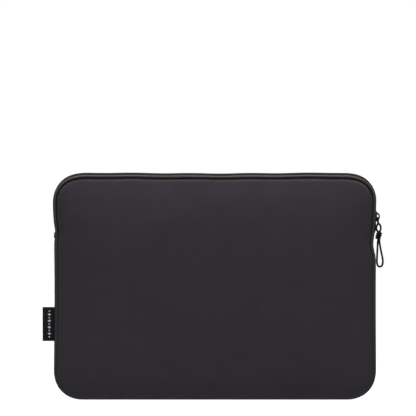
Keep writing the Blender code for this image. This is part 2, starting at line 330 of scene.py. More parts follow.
# Woven cloth: two thread directions as a fine bump, specks of lighter thread, slow drift across the cloth.
# Dyed polyester hardly shines, so the specular level is almost nothing and the roughness high.
def wovenMaterial(name, darkColor, lightColor, roughness, threadSize, bumpDepth, sheen, sheenRoughness=0.5,
                  mottleSize=18 * mm, mottle=0.25):
    material, tree, shader = startMaterial(name, darkColor, roughness)
    shader.inputs["Sheen Weight"].default_value = sheen
    shader.inputs["Sheen Roughness"].default_value = sheenRoughness
    shader.inputs["Sheen Tint"].default_value = linear("#c9c7cf")
    shader.inputs["Specular IOR Level"].default_value = 0.02
    place = addNode(tree, "ShaderNodeTexCoord").outputs["Object"]
    waves = []
    for direction in ("X", "Z"):
        wave = addNode(tree, "ShaderNodeTexWave",
                       {"wave_type": "BANDS", "bands_direction": direction,
                        "Scale": 1 / (threadSize * math.pi), "Distortion": 0.6, "Detail": 1.0,
                        "Detail Scale": 2.0}, {"Vector": place})
        waves.append(wave.outputs["Fac"])
    weave = addNode(tree, "ShaderNodeMath", {"operation": "MULTIPLY"}, {0: waves[0], 1: waves[1]})
    fuzz = addNode(tree, "ShaderNodeTexNoise",
                   {"Scale": 1 / (threadSize * 1.5), "Detail": 3.0, "Roughness": 0.6}, {"Vector": place})
    height = addNode(tree, "ShaderNodeMath", {"operation": "ADD"},
                     {0: weave.outputs[0], 1: fuzz.outputs["Fac"]})
    drift = addNode(tree, "ShaderNodeTexNoise", {"Scale": 1 / mottleSize, "Detail": 4.0, "Roughness": 0.55},
                    {"Vector": place})
    speck = addNode(tree, "ShaderNodeMath", {"operation": "MULTIPLY", 1: 0.35}, {0: height.outputs[0]})
    blendFactor = addNode(tree, "ShaderNodeMath", {"operation": "MULTIPLY_ADD", 1: mottle * 2},
                          {0: drift.outputs["Fac"], 2: speck.outputs[0]})
    color = addNode(tree, "ShaderNodeMix", {"data_type": "RGBA", "clamp_factor": True})
    color.inputs[6].default_value = linear(darkColor)
    color.inputs[7].default_value = linear(lightColor)
    tree.links.new(blendFactor.outputs[0], color.inputs[0])
    tree.links.new(color.outputs[2], shader.inputs["Base Color"])
    bump = addNode(tree, "ShaderNodeBump", {"Strength": 0.8, "Distance": bumpDepth},
                   {"Height": height.outputs[0]})
    tree.links.new(bump.outputs["Normal"], shader.inputs["Normal"])
    return material


# Plated metal: a dark mirror, dulled in patches by fine handling marks
def metalMaterial(name, color, roughness, grainSize):
    material, tree, shader = startMaterial(name, color, roughness, Metallic=1.0)
    place = addNode(tree, "ShaderNodeTexCoord").outputs["Object"]
    marks = addNode(tree, "ShaderNodeTexNoise", {"Scale": 1 / grainSize, "Detail": 4.0}, {"Vector": place})
    rough = addNode(tree, "ShaderNodeMapRange", {"From Min": 0.3, "From Max": 0.7, "To Min": roughness * 0.8,
                                                 "To Max": roughness * 1.35}, {"Value": marks.outputs["Fac"]})
    tree.links.new(rough.outputs[0], shader.inputs["Roughness"])
    bump = addNode(tree, "ShaderNodeBump", {"Strength": 0.25, "Distance": 0.02 * mm},
                   {"Height": marks.outputs["Fac"]})
    tree.links.new(bump.outputs["Normal"], shader.inputs["Normal"])
    return material


# name, dark and light thread, roughness, thread spacing, bump depth, sheen.
# Real threads are 0.3 to 0.4 mm apart; those of the larger cloths are drawn about twice as coarse, to show.
outerCloth = wovenMaterial("wovenPolyesterShell", "#242225", "#2e2c30",  # plain weave, flat purple-black
                           0.82, 0.9 * mm, 0.12 * mm, 0.01)
pipingCloth = wovenMaterial("satinPipingTape", "#272625", "#343231",  # satin, warmer, catches the top light
                            0.65, 0.7 * mm, 0.1 * mm, 0.01)
liningCloth = wovenMaterial("brushedNylonLining", "#252427", "#302f33",  # brushed, a soft dark grey nap
                            0.85, 0.8 * mm, 0.1 * mm, 0.05)
tapeCloth = wovenMaterial("ribbedZipTape", "#0d0c0b", "#151412",  # herringbone tape, deep warm black
                          0.8, 0.6 * mm, 0.15 * mm, 0.0)
# the same dark cloth also dresses the seam flange, where it is painted seam shadow
bindingClothAndSeamShade = wovenMaterial("grosgrainBindingAndSeamShade", "#1b1a1b", "#262526",  # ribbed ribbon, dull black
                             0.75, 0.8 * mm, 0.15 * mm, 0.02)
cordCloth = wovenMaterial("braidedPolyesterCord", "#0d0c0a", "#201e1b",  # braid, black with paler crossings
                          0.6, 0.5 * mm, 0.12 * mm, 0.01)
labelCloth = wovenMaterial("damaskLabel", "#111112", "#1a1a1c",  # damask weave, fine and almost smooth
                           0.6, 0.4 * mm, 0.06 * mm, 0.01)
motifThread = wovenMaterial("greyMotifThread", "#85858c", "#9d9da5",  # spun thread, a soft pale grey
                            0.5, 0.4 * mm, 0.08 * mm, 0.02)
sewingThread = wovenMaterial("blackSewingThread", "#1c1b1b", "#292727",  # twisted, a shade over the cloth
                             0.5, 0.3 * mm, 0.05 * mm, 0.02)
coilNylon = wovenMaterial("extrudedNylonCoil", "#0b0b0a", "#121211",  # drawn nylon, black and a little slick
                          0.38, 0.6 * mm, 0.02 * mm, 0.0)
# Black nickel on die-cast zinc is a dark mirror; blackened brass is browner and duller
sliderMetal = metalMaterial("blackNickelZinc", "#151311", 0.28, 1.2 * mm)
stopMetal = metalMaterial("blackenedBrassClip", "#262320", 0.35, 1.0 * mm)
print("materials made")


def dress(piece, material):
    piece.data.materials.clear()
    piece.data.materials.append(material)
    return piece


# A long lens, square on, with the frame's width measured at the sleeve's middle plane
camera = {"lens": 300, "sensor": 36, "frameWidth": 444.3 * mm, "aimX": -7.35 * mm, "aimZ": 204.2 * mm}


def addCamera():
    distance = camera["frameWidth"] * camera["lens"] / camera["sensor"]
    deselectAll()
    bpy.ops.object.camera_add(location=(camera["aimX"], -distance, camera["aimZ"]),
                              rotation=(math.pi / 2, 0, 0))
    view = bpy.context.object
    view.data.lens = camera["lens"]
    view.data.sensor_width = camera["sensor"]
    view.data.clip_end = 20
    bpy.context.scene.camera = view


def addAreaLight(name, location, aim, size, power):
    deselectAll()
    bpy.ops.object.light_add(type="AREA", location=location)
    lamp = bpy.context.object
    lamp.name = name
    lamp.data.shape = "RECTANGLE"
    lamp.data.size, lamp.data.size_y = size
    lamp.data.energy = power
    lamp.visible_camera = False
    lamp.rotation_euler = (Vector(aim) - Vector(location)).to_track_quat("-Z", "Y").to_euler()


studio = {"floorSize": 8, "floorDrop": 0.4 * mm, "floorColor": "#616161", "floorGlow": 0.96,
          "backdropRadius": 7, "skyStrength": 0.4}


# A pale floor and a white backdrop, a long softbox overhead and a weak one in front
def addStudio():
    deselectAll()
    bpy.ops.mesh.primitive_plane_add(size=studio["floorSize"], location=(0, 0, -studio["floorDrop"]))
    floor = bpy.context.object
    floor.name = "studioFloor"
    # matt paint lit from all round, so it reads as almost white with a soft shadow
    paint, _, shader = startMaterial("palePaintedFloor", studio["floorColor"], 0.9)
    shader.inputs["Emission Color"].default_value = (1, 1, 1, 1)
    shader.inputs["Emission Strength"].default_value = studio["floorGlow"]
    shader.inputs["Specular IOR Level"].default_value = 0
    floor.data.materials.append(paint)
    deselectAll()
    bpy.ops.mesh.primitive_ico_sphere_add(subdivisions=4, radius=studio["backdropRadius"])
    backdrop = bpy.context.object
    backdrop.name = "whiteBackdrop"
    # backlit paper, plain white all over
    glow, _, shader = startMaterial("litBackdropPaper", "#000000", 1.0)
    shader.inputs["Emission Color"].default_value = (1, 1, 1, 1)
    shader.inputs["Emission Strength"].default_value = 1.0
    backdrop.data.materials.append(glow)
    # seen, but it throws no light of its own
    backdrop.visible_diffuse = backdrop.visible_glossy = backdrop.visible_shadow = False
    backdrop.visible_transmission = False
    world = bpy.data.worlds.new("dimStudio")
    world.use_nodes = True
    sky = world.node_tree.nodes["Background"]
    sky.inputs["Color"].default_value = (1, 1, 1, 1)
    sky.inputs["Strength"].default_value = studio["skyStrength"]
    bpy.context.scene.world = world
    bpy.context.scene.view_settings.view_transform = "Standard"
    addAreaLight("topSoftbox", (0, -0.07, 1.1), (0, -0.03, 0.2), (0.9, 0.2), 54)
    addAreaLight("frontSoftbox", (0.4, -1.9, 1.1), (0, 0, 0.12), (1.0, 1.0), 2)


addCamera()
addStudio()
print("camera and light placed")


# The padded walls: insets from the outline, the cloth simulation, and how the foam rolls off to its rim
wall = {
    "topInset": 5.9 * mm,
    "sideInset": 3.4 * mm,
    "lowerSideInset": 2.5 * mm,
    "bottomInset": 0.9 * mm,
    "frontY": 11.7 * mm,
    "backY": 8.9 * mm,
    "clothDepth": 12 * mm,
    "clothMesh": 5 * mm,
    "quickClothMesh": 8 * mm,
    "fineMesh": 1.8 * mm,
    "quickFineMesh": 2.5 * mm,
    "pinned": 3 * mm,
    "pressure": 4,
    "frames": 20,
    "swell": 4.3 * mm,
    "foamShare": 0.75,
    "rollOffTop": 30 * mm,
    "rollOffSide": 22 * mm,
    "rollOffLow": 15 * mm,
    "waveHeight": 0.35 * mm,
    "waveSize": 55 * mm,
}


# A flat slab with soft corners, its face at the front
def addWallSlab(name, depth):
    deselectAll()
    inset = wall["sideInset"]
    low, high = wall["bottomInset"], body["height"] - wall["topInset"]
    bpy.ops.mesh.primitive_cube_add(size=1, location=(0, depth / 2 - wall["frontY"], (low + high) / 2))
    slab = bpy.context.object
    slab.name = name
    slab.scale = (2 * (body["halfWidth"] - inset), depth, high - low)
    placeInMesh(slab)
    for item in [*slab.data.vertices, *slab.data.edges, *slab.data.polygons]:
        item.select = False
    for edge in slab.data.edges:
        a, b = (slab.data.vertices[i] for i in edge.vertices)
        if abs(a.co.y - b.co.y) > 1 * mm:
            a.select = b.select = edge.select = True
    bpy.ops.object.mode_set(mode="EDIT")
    bpy.ops.mesh.select_mode(type="EDGE")
    bpy.ops.mesh.bevel(offset=body["cornerReach"] - inset, segments=14, profile=cornerProfile)
    bpy.ops.object.mode_set(mode="OBJECT")
    return slab


def remeshEvenly(piece, size):
    mesher = piece.modifiers.new("evenMesh", "REMESH")
    mesher.mode = "VOXEL"
    mesher.voxel_size = size
    applyModifiers(piece)


# How far a point is in from the body's outline
def distanceIn(co):
    halfWidth, height, reach = body["halfWidth"], body["height"], body["cornerReach"]
    dx = halfWidth - abs(co.x)
    dz = min(co.z, height - co.z)
    if dx < reach and dz < reach:
        u, v = 1 - dx / reach, 1 - dz / reach
        power = body["cornerPower"]
        return reach * (1 - (u ** power + v ** power) ** (1 / power))
    return min(dx, dz)


# Foam pressing on a cloth that is sewn down round its rim, as a coarse cloth simulation
def simulateCrown():
    pad = addWallSlab("crownCloth", wall["clothDepth"])
    remeshEvenly(pad, wall["clothMesh"])
    sewn = pad.vertex_groups.new(name="sewnRim")
    front = -wall["frontY"]
    held = [v.index for v in pad.data.vertices
            if v.co.y > front + 2 * mm or distanceIn(v.co) < wall["sideInset"] + wall["pinned"]]
    sewn.add(held, 1.0, "REPLACE")
    cloth = pad.modifiers.new("foamPressure", "CLOTH")
    fabric = cloth.settings
    fabric.quality = 6
    fabric.mass = 0.25
    fabric.tension_stiffness = fabric.compression_stiffness = 25
    fabric.bending_stiffness = 1.5
    fabric.vertex_group_mass = "sewnRim"
    fabric.use_pressure = True
    fabric.uniform_pressure_force = wall["pressure"]
    fabric.effector_weights.gravity = 0
    cloth.point_cache.frame_start, cloth.point_cache.frame_end = 1, wall["frames"]
    for number in range(1, wall["frames"] + 1):
        bpy.context.scene.frame_set(number)
    evenOut = pad.modifiers.new("evenOut", "SMOOTH")
    evenOut.factor = 0.5
    evenOut.iterations = 12
    applyModifiers(pad)
    bpy.context.scene.frame_set(1)
    return pad


crownPad = simulateCrown()
crownTree = BVHTree.FromPolygons([v.co for v in crownPad.data.vertices],
                                 [p.vertices for p in crownPad.data.polygons])
crownTop = max(-v.co.y for v in crownPad.data.vertices) - wall["frontY"]
bpy.data.objects.remove(crownPad)
print("foam pressure simulated, crown", round(crownTop / mm, 2), "mm")


# Crown of a padded wall: foam held down at the rim, with the simulated swell on top
def crownHeight(co):
    hit = crownTree.ray_cast(Vector((co.x, -0.1, co.z)), Vector((0, 1, 0)))[0]
    swell = max(0.0, -hit.y - wall["frontY"]) / crownTop if hit else 0.0
    rise = math.tanh(max(0.0, body["height"] - wall["topInset"] - co.z) / wall["rollOffTop"])
    rise *= math.tanh(max(0.0, body["halfWidth"] - wall["lowerSideInset"] - abs(co.x)) / wall["rollOffSide"])
    rise *= math.tanh(max(0.0, co.z) / wall["rollOffLow"])
    # slow waves in the cloth, and smaller ones on them
    ripple = noise.noise(Vector((co.x / wall["waveSize"], 3.7, co.z / wall["waveSize"])))
    ripple += 0.4 * noise.noise(Vector((co.x / wall["waveSize"] * 2.3, 9.1, co.z / wall["waveSize"] * 2.3)))
    plump = wall["foamShare"] + (1 - wall["foamShare"]) * swell
    return (wall["swell"] * plump + wall["waveHeight"] * ripple) * rise


# A whole wall, its foam and its cloth as one pad; side is -1 for the front and 1 for the back
def addWall(name, side):
    slab = addWallSlab(name, wall["frontY"] - wall["backY"])
    remeshEvenly(slab, wall["fineMesh"])
    middleY = -(wall["frontY"] + wall["backY"]) / 2
    widen = wall["sideInset"] - wall["lowerSideInset"]
    for vert in slab.data.vertices:
        outerShare = smoothStep(middleY + 0.8 * mm, middleY - 0.8 * mm, vert.co.y)
        vert.co.y -= crownHeight(vert.co) * outerShare
        # the walls reach nearer the edge below the zip
        low = smoothStep(185 * mm, 150 * mm, vert.co.z)
        vert.co.x += math.copysign(widen * low * smoothStep(120 * mm, 165 * mm, abs(vert.co.x)), vert.co.x)
        vert.co.z = max(0.3 * mm, vert.co.z)
    giveWay(slab)
    if side > 0:
        pick(slab)
        bpy.ops.object.mode_set(mode="EDIT")
        bpy.ops.mesh.select_all(action="SELECT")
        bpy.ops.transform.resize(value=(1, -1, 1), center_override=(0, 0, 0))
        bpy.ops.mesh.normals_make_consistent(inside=False)
        bpy.ops.object.mode_set(mode="OBJECT")
    soften = slab.modifiers.new("soften", "SMOOTH")
    soften.factor = 0.5
    soften.iterations = 3
    applyModifiers(slab)
    smoothShade(slab, 60)
    return dress(slab, outerCloth)


frontWall = addWall("frontWall", -1)
bendOver(frontWall)
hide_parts("front_outer_panel", "front_foam_pad", "flap_outer_panel", "flap_foam_pad")
backWall = addWall("backWall", 1)
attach(backWall, "root")
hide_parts("back_outer_panel", "back_foam_pad")
print("padded walls made")


liningSheet = {"inset": 4.6 * mm, "y": 8.5 * mm, "thickness": 0.5 * mm, "gridStep": 11 * mm,
               "foldStep": 2 * mm, "foldCuts": 8}


# An extra line of points across a sheet, so that it can bend there
def slicePlate(piece, point, normal):
    pick(piece)
    bpy.ops.object.mode_set(mode="EDIT")
    bpy.ops.mesh.select_all(action="SELECT")
    bpy.ops.mesh.bisect(plane_co=point, plane_no=normal)
    bpy.ops.object.mode_set(mode="OBJECT")


def addLining(name, side):
    sheet = edgeWire(name, liningSheet["inset"], side * liningSheet["y"])
    pick(sheet)
    bpy.ops.object.mode_set(mode="EDIT")
    bpy.ops.mesh.select_all(action="SELECT")
    bpy.ops.mesh.edge_face_add()
    bpy.ops.object.mode_set(mode="OBJECT")
    # a coarse grid all over, and close cuts where it bends at the fold
    grid = liningSheet["gridStep"]
    across = int(body["halfWidth"] / grid)
    for x in range(-across, across + 1):
        slicePlate(sheet, Vector((x * grid, 0, 0)), Vector((1, 0, 0)))
    for z in range(1, int(body["height"] / grid) + 1):
        slicePlate(sheet, Vector((0, 0, z * grid)), Vector((0, 0, 1)))
    point, up = foldPlane()
    for step in range(-1, liningSheet["foldCuts"]):
        slicePlate(sheet, point + up * step * liningSheet["foldStep"], up)
    cloth = sheet.modifiers.new("wall", "SOLIDIFY")
    cloth.thickness = liningSheet["thickness"]
    cloth.offset = 0
    applyModifiers(sheet)
    giveWay(sheet)
    smoothShade(sheet)
    return dress(sheet, liningCloth)


frontLining = addLining("frontLining", -1)
bendOver(frontLining)
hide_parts("front_lining", "flap_lining")
backLining = addLining("backLining", 1)
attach(backLining, "root")
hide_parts("back_lining")
print("lining made")


piping = {"inset": 2.0 * mm, "y": 10.3 * mm, "radius": 1.42 * mm,
          "topDrop": 2.0 * mm, "topLow": 42 * mm, "topHigh": 6 * mm,  # how far it sits below the zip on top
          "tuckedIn": 1.3 * mm, "tuckLow": 20 * mm, "tuckHigh": 45 * mm}  # how it hides behind the walls
seam = {"inset": 2.6 * mm, "reach": 4.4 * mm, "y": 9.05 * mm, "thickness": 0.4 * mm}


# Cord wrapped in the piping's cloth, all the way round one wall
def addPiping(name, side):
    wire = edgeWire(name, piping["inset"], side * piping["y"], spacing=3 * mm)
    roll = wireToTube(wire, piping["radius"], 4)
    low, high = body["height"] - piping["topLow"], body["height"] - piping["topHigh"]
    for vert in roll.data.vertices:
        tucked = piping["tuckedIn"] * smoothStep(piping["tuckHigh"], piping["tuckLow"], vert.co.z)
        vert.co.z -= piping["topDrop"] * smoothStep(low, high, vert.co.z)
        vert.co.y += noise.noise(vert.co / (7 * mm)) * 0.1 * mm - side * tucked
    giveWay(roll)
    smoothShade(roll)
    return dress(roll, pipingCloth)


# The raw edges of wall, piping and tape, sewn together behind the piping, dressed in the darker binding cloth
# as painted seam shadow in the gap between piping and wall
def addSeamFlange(name, side):
    flange = edgeWire(name, seam["inset"], side * seam["y"])
    pick(flange)
    bpy.ops.object.mode_set(mode="EDIT")
    bpy.ops.mesh.select_all(action="SELECT")
    bpy.ops.mesh.edge_face_add()
    bpy.ops.mesh.inset(thickness=seam["reach"], use_even_offset=True)
    bpy.ops.mesh.delete(type="FACE")
    bpy.ops.object.mode_set(mode="OBJECT")
    thick = flange.modifiers.new("wall", "SOLIDIFY")
    thick.thickness = seam["thickness"]
    thick.offset = 0
    applyModifiers(flange)
    giveWay(flange)
    # painted seam shadow: darker than the raw edges' own cloth
    return dress(flange, bindingClothAndSeamShade)


bendOver(addSeamFlange("frontSeamFlange", -1))
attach(addSeamFlange("backSeamFlange", 1), "root")
frontPiping = addPiping("frontPiping", -1)
bendOver(frontPiping)
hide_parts("front_piping", "flap_piping")
backPiping = addPiping("backPiping", 1)
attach(backPiping, "root")
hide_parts("back_piping")

binding = {"inset": 3.9 * mm, "y": 6.6 * mm, "radius": 1.15 * mm}


# Bias tape folded over the raw edges inside, filled out to a soft bead
def addBinding(name, side):
    wire = edgeWire(name, binding["inset"], side * binding["y"], spacing=4 * mm)
    tape = wireToTube(wire, binding["radius"], 3)
    giveWay(tape)
    smoothShade(tape)
    return dress(tape, bindingClothAndSeamShade)


frontBinding = addBinding("frontSeamBinding", -1)
bendOver(frontBinding)
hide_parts("front_seam_binding", "flap_seam_binding")
backBinding = addBinding("backSeamBinding", 1)
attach(backBinding, "root")
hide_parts("back_seam_binding")
print("piping and bindings made")


gusset = {"inset": 0.6 * mm, "halfWidth": 8.9 * mm, "thickness": 0.9 * mm, "crown": 0.1 * mm,
          "left": 176.5 * mm, "right": 161.5 * mm}


# One strip of the shell's cloth, down both sides from the zip's ends and along the bottom
def addGusset():
    wire = edgeWire("sideGusset", gusset["inset"], -gusset["halfWidth"], spacing=5 * mm)
    cutBetween(wire, gusset["left"], gusset["right"], above=False)
    strip = wireToStrip(wire, 2 * gusset["halfWidth"], 6, gusset["thickness"])
    shapeStrip(strip, lambda y: gusset["crown"] * max(0.0, 1 - (y / gusset["halfWidth"]) ** 2))
    for vert in strip.data.vertices:
        vert.co.z = max(0.05 * mm, vert.co.z)
    giveWay(strip)
    smoothShade(strip)
    return dress(strip, outerCloth)


sideGusset = addGusset()
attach(sideGusset, "root")
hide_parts("side_gusset")

zipTape = {"inset": 2.2 * mm, "inner": 0.0 * mm, "outer": 8.9 * mm, "thickness": 0.6 * mm,
           "bed": 0.9 * mm, "shoulder": 0.95 * mm, "left": 173.5 * mm, "right": 157.5 * mm}


# The tape lies low under the coil, rises to a shoulder, and falls to the seam with the piping
def tapeProfile(y):
    rise = zipTape["shoulder"] * smoothStep(3.4 * mm, 5.4 * mm, y)
    fall = (zipTape["bed"] + zipTape["shoulder"]) * smoothStep(6.4 * mm, zipTape["outer"], y)
    return zipTape["bed"] + rise - fall


def addZipTape(name, side):
    start = zipTape["inner"] if side > 0 else -zipTape["outer"]
    wire = edgeWire(name, zipTape["inset"], start, spacing=4 * mm)
    cutBetween(wire, zipTape["left"], zipTape["right"], above=True)
    strip = wireToStrip(wire, zipTape["outer"] - zipTape["inner"], 12, zipTape["thickness"])
    shapeStrip(strip, tapeProfile)
    giveWay(strip)
    smoothShade(strip)
    return dress(strip, tapeCloth)


backTape = addZipTape("backZipTape", 1)
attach(backTape, "root")
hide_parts("back_zip_tape")
frontTape = addZipTape("frontZipTape", -1)
bendOver(frontTape)
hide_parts("front_zip_tape", "flap_zip_tape")

coil = {"pitch": 1.45 * mm, "wire": 0.3 * mm, "inset": 1.0 * mm, "root": 3.0 * mm,
        "headMeshed": 0.55 * mm, "headOpen": -0.25 * mm, "meshedBelow": 190 * mm,
        "left": 181.3 * mm, "right": 177.4 * mm}


# One turn of the nylon coil: out over the head and back under it
def addCoilTurn(headY):
    route = [(0, -coil["root"], -0.2 * mm), (0, -1.6 * mm, 0.45 * mm), (0, headY - 0.5 * mm, 0.5 * mm),
             (0.1 * mm, headY, 0.1 * mm), (0.2 * mm, headY - 0.5 * mm, -0.35 * mm),
             (0.45 * mm, -1.6 * mm, -0.4 * mm), (0.7 * mm, -coil["root"], -0.3 * mm)]
    shape = bpy.data.curves.new("coilTurn", "CURVE")
    shape.dimensions = "3D"
    shape.bevel_depth = coil["wire"]
    shape.bevel_resolution = 0
    shape.use_fill_caps = True
    spline = shape.splines.new("POLY")
    spline.points.add(len(route) - 1)
    for point, co in zip(spline.points, route):
        point.co = (*co, 1)
    turn = bpy.data.objects.new("coilTurn", shape)
    bpy.context.collection.objects.link(turn)
    pick(turn)
    bpy.ops.object.convert(target="MESH")
    turn = bpy.context.object
    bpy.ops.object.mode_set(mode="EDIT")
    bpy.ops.mesh.select_all(action="SELECT")
    bpy.ops.mesh.remove_doubles(threshold=0.00001)
    bpy.ops.mesh.normals_make_consistent(inside=False)
    bpy.ops.object.mode_set(mode="OBJECT")
    return turn


# Copies of a small shape, each with its own mesh, joined into one piece
def copyAlong(model, places, name):
    copies = []
    for matrix in places:
        twin = bpy.data.objects.new(name, model.data.copy())
        bpy.context.collection.objects.link(twin)
        twin.data.transform(matrix)
        if matrix.determinant() < 0:
            twin.data.flip_normals()
        copies.append(twin)
    return joinPieces(copies, name)


# A turn's own axes are along the edge, towards the middle plane, and outwards
def placeOn(point, tangent, outward, side):
    matrix = Matrix.Identity(4)
    matrix.col[0].xyz = tangent
    matrix.col[1].xyz = Vector((0, -side, 0))
    matrix.col[2].xyz = outward
    matrix.translation = point
    return matrix


# Both rows are meshed below the slider and lie side by side, open, above it and all round the top
def addCoil(name, side):
    path = edgePath(coil["inset"], coil["left"], coil["right"], True, coil["pitch"])
    shut, apart = [], []
    for i, (point, tangent, outward) in enumerate(path[:-1]):
        offset = tangent * (coil["pitch"] / 2 if side > 0 else 0)
        meshed = point.x > 0 and point.z < coil["meshedBelow"]
        (shut if meshed else apart).append(placeOn(point + offset, tangent, outward, side))
    pieces = []
    for places, headY in ((shut, coil["headMeshed"]), (apart, coil["headOpen"])):
        model = addCoilTurn(headY)
        pieces.append(copyAlong(model, places, name))
        bpy.data.objects.remove(model)
    row = joinPieces(pieces, name)
    giveWay(row)
    smoothShade(row, 60)
    return dress(row, coilNylon)


frontCoil = addCoil("frontZipCoil", -1)
bendOver(frontCoil)
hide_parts("front_zip_teeth", "flap_zip_teeth")
backCoil = addCoil("backZipCoil", 1)
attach(backCoil, "root")
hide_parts("back_zip_teeth")
print("zip made")


# A block between two corners, with every edge rounded
def addBlock(name, low, high, bevel, segments=3):
    deselectAll()
    low, high = Vector(low), Vector(high)
    bpy.ops.mesh.primitive_cube_add(size=1, location=(low + high) / 2)
    block = bpy.context.object
    block.name = name
    block.scale = high - low
    placeInMesh(block)
    bpy.ops.object.mode_set(mode="EDIT")
    bpy.ops.mesh.select_all(action="SELECT")
    bpy.ops.mesh.bevel(offset=bevel, segments=segments, affect="EDGES")
    bpy.ops.object.mode_set(mode="OBJECT")
    return block


def growBox(node, amount):
    low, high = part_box(node)
    return Vector(low) - Vector(amount), Vector(high) + Vector(amount)


for node, rides in (("zip_bottom_stop", "root"), ("back_top_stop", "root"), ("flap_top_stop", "flap")):
    low, high = growBox(node, (0.15 * mm, 0.1 * mm, 0))
    clip = addBlock(node.title().replace("_", "") + "Clip", low, high, 0.35 * mm)
    giveWay(clip)
    smoothShade(clip)
    dress(clip, stopMetal)
    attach(clip, rides)
    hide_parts(node)

for node in ("left_end_tab", "right_end_tab"):
    low, high = growBox(node, (0, 1.6 * mm, 0.4 * mm))
    tab = addBlock(node.title().replace("_", "") + "Fold", low, high, 0.42 * mm)
    giveWay(tab)
    smoothShade(tab)
    dress(tab, outerCloth)
    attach(tab, "root")
    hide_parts(node)


stitch = {"length": 2.2 * mm, "pitch": 3.0 * mm, "radius": 0.19 * mm,
          "tapeInset": 1.7 * mm, "tapeY": 7.6 * mm, "gussetInset": 0.1 * mm, "gussetY": 8.0 * mm}


def addStitchModel():
    deselectAll()
    bpy.ops.mesh.primitive_cylinder_add(vertices=6, radius=stitch["radius"], depth=stitch["length"],
                                        rotation=(0, math.pi / 2, 0))
    model = bpy.context.object
    placeInMesh(model)
    bpy.ops.object.mode_set(mode="EDIT")
    bpy.ops.mesh.select_all(action="SELECT")
    bpy.ops.mesh.bevel(offset=0.08 * mm, segments=1)
    bpy.ops.object.mode_set(mode="OBJECT")
    return model


def addStitchRow(name, inset, y, leftHeight, rightHeight, over):
    model = addStitchModel()
    places = []
    for point, tangent, outward in edgePath(inset, leftHeight, rightHeight, over, stitch["pitch"])[:-1]:
        middle = point + tangent * stitch["pitch"] / 2
        matrix = placeOn(middle, tangent, outward, -1)
        matrix.translation.y = y
        places.append(matrix)
    row = copyAlong(model, places, name)
    bpy.data.objects.remove(model)
    giveWay(row)
    smoothShade(row, 60)
    return dress(row, sewingThread)


inset, y = stitch["tapeInset"], stitch["tapeY"]
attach(addStitchRow("backTapeStitches", inset, y, 179.5 * mm, 165 * mm, True), "root")
bendOver(addStitchRow("frontTapeStitches", inset, -y, 180.0 * mm, 165 * mm, True))
inset, y = stitch["gussetInset"], stitch["gussetY"]
for name, side in (("frontGussetStitches", -1), ("backGussetStitches", 1)):
    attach(addStitchRow(name, inset, side * y, 171 * mm, 156 * mm, False), "root")
print("stitching made")


label = {"left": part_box("side_label")[0][0], "low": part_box("side_label")[0][2],
         "high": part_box("side_label")[1][2], "right": -169.8 * mm, "y": -9.0 * mm,
         "thickness": 0.45 * mm, "foldRadius": 0.5 * mm, "lean": 0.5 * mm, "leanSize": 14 * mm}


# The free end waves a little in and out
def labelLean(z):
    return noise.noise(Vector((0, 0, z / label["leanSize"]))) * label["lean"]


# A ribbon folded back on itself: two layers with a round fold at the free end
def addLabel():
    deselectAll()
    height = label["high"] - label["low"]
    bpy.ops.mesh.primitive_grid_add(x_subdivisions=26, y_subdivisions=16, size=1,
                                    location=(0, label["y"], (label["low"] + label["high"]) / 2),
                                    rotation=(math.pi / 2, 0, 0))
    ribbon = bpy.context.object
    ribbon.name = "sideLabelRibbon"
    reach = label["right"] - label["left"]
    ribbon.scale = (2 * reach, height, 1)
    placeInMesh(ribbon)
    foldRadius = label["foldRadius"]
    for vert in ribbon.data.vertices:
        along = vert.co.x
        if abs(along) < foldRadius * math.pi / 2:
            angle = along / foldRadius
            vert.co.x = label["left"] + foldRadius * (1 - math.cos(angle))
            vert.co.y = label["y"] + foldRadius * math.sin(angle)
        else:
            beyond = abs(along) - foldRadius * math.pi / 2
            vert.co.x = label["left"] + foldRadius + beyond
            vert.co.y = label["y"] + math.copysign(foldRadius, along)
        free = smoothStep(label["right"], label["left"], vert.co.x)
        vert.co.y += labelLean(vert.co.z) * free
    thick = ribbon.modifiers.new("wall", "SOLIDIFY")
    thick.thickness = label["thickness"]
    thick.offset = 0
    soft = ribbon.modifiers.new("softEdge", "BEVEL")
    soft.width = 0.12 * mm
    soft.segments = 2
    applyModifiers(ribbon)
    smoothShade(ribbon)
    return dress(ribbon, labelCloth)


labelRibbon = addLabel()
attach(labelRibbon, "root")
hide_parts("side_label")

motif = {"x": -176.4 * mm, "count": 9, "pitch": 3.4 * mm, "width": 2.8 * mm, "height": 2.2 * mm, "small": 0.62}


# A plain column of woven diamonds, raised a thread above the label
def addLabelMotif():
    bars = []
    middle = (label["low"] + label["high"]) / 2
    for i in range(motif["count"]):
        z = middle + (i - (motif["count"] - 1) / 2) * motif["pitch"]
        size = 1.3 * (1.0 if i % 2 else motif["small"])
        deselectAll()
        bpy.ops.mesh.primitive_cylinder_add(vertices=4, radius=0.5, depth=1, rotation=(math.pi / 2, 0, 0),
                                            location=(motif["x"], label["y"] - 0.86 * mm, z))
        bar = bpy.context.object
        bar.scale = (motif["width"] * size, motif["height"] * size, 0.3 * mm)
        placeInMesh(bar)
        bar.data.transform(Matrix.Translation((0, labelLean(z) * 0.5, 0)))
        bars.append(bar)
    column = joinPieces(bars, "labelMotif")
    edge = column.modifiers.new("softEdge", "BEVEL")
    edge.width = 0.1 * mm
    edge.segments = 2
    applyModifiers(column)
    return dress(column, motifThread)


labelMotif = addLabelMotif()
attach(labelMotif, "root")
print("label made")


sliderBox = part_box("slider_body")
slider = {"low": sliderBox[0][2], "high": sliderBox[1][2],
          "outerX": sliderBox[1][0], "innerX": sliderBox[0][0],
          "plate": 0.95 * mm, "wide": 4.6 * mm, "narrow": 3.5 * mm, "flange": 0.55 * mm}


# A shield-shaped plate: wide at the two mouths, narrow where the rows leave together
def addSliderPlate(name, x, thickness):
    low, high = slider["low"], slider["high"]
    plate = addBlock(name, (x, -slider["wide"], low), (x + thickness, slider["wide"], high), 0.4 * mm)
    for vert in plate.data.vertices:
        up = smoothStep(low, high, vert.co.z)
        vert.co.y *= (slider["narrow"] + (slider["wide"] - slider["narrow"]) * up) / slider["wide"]
    return plate


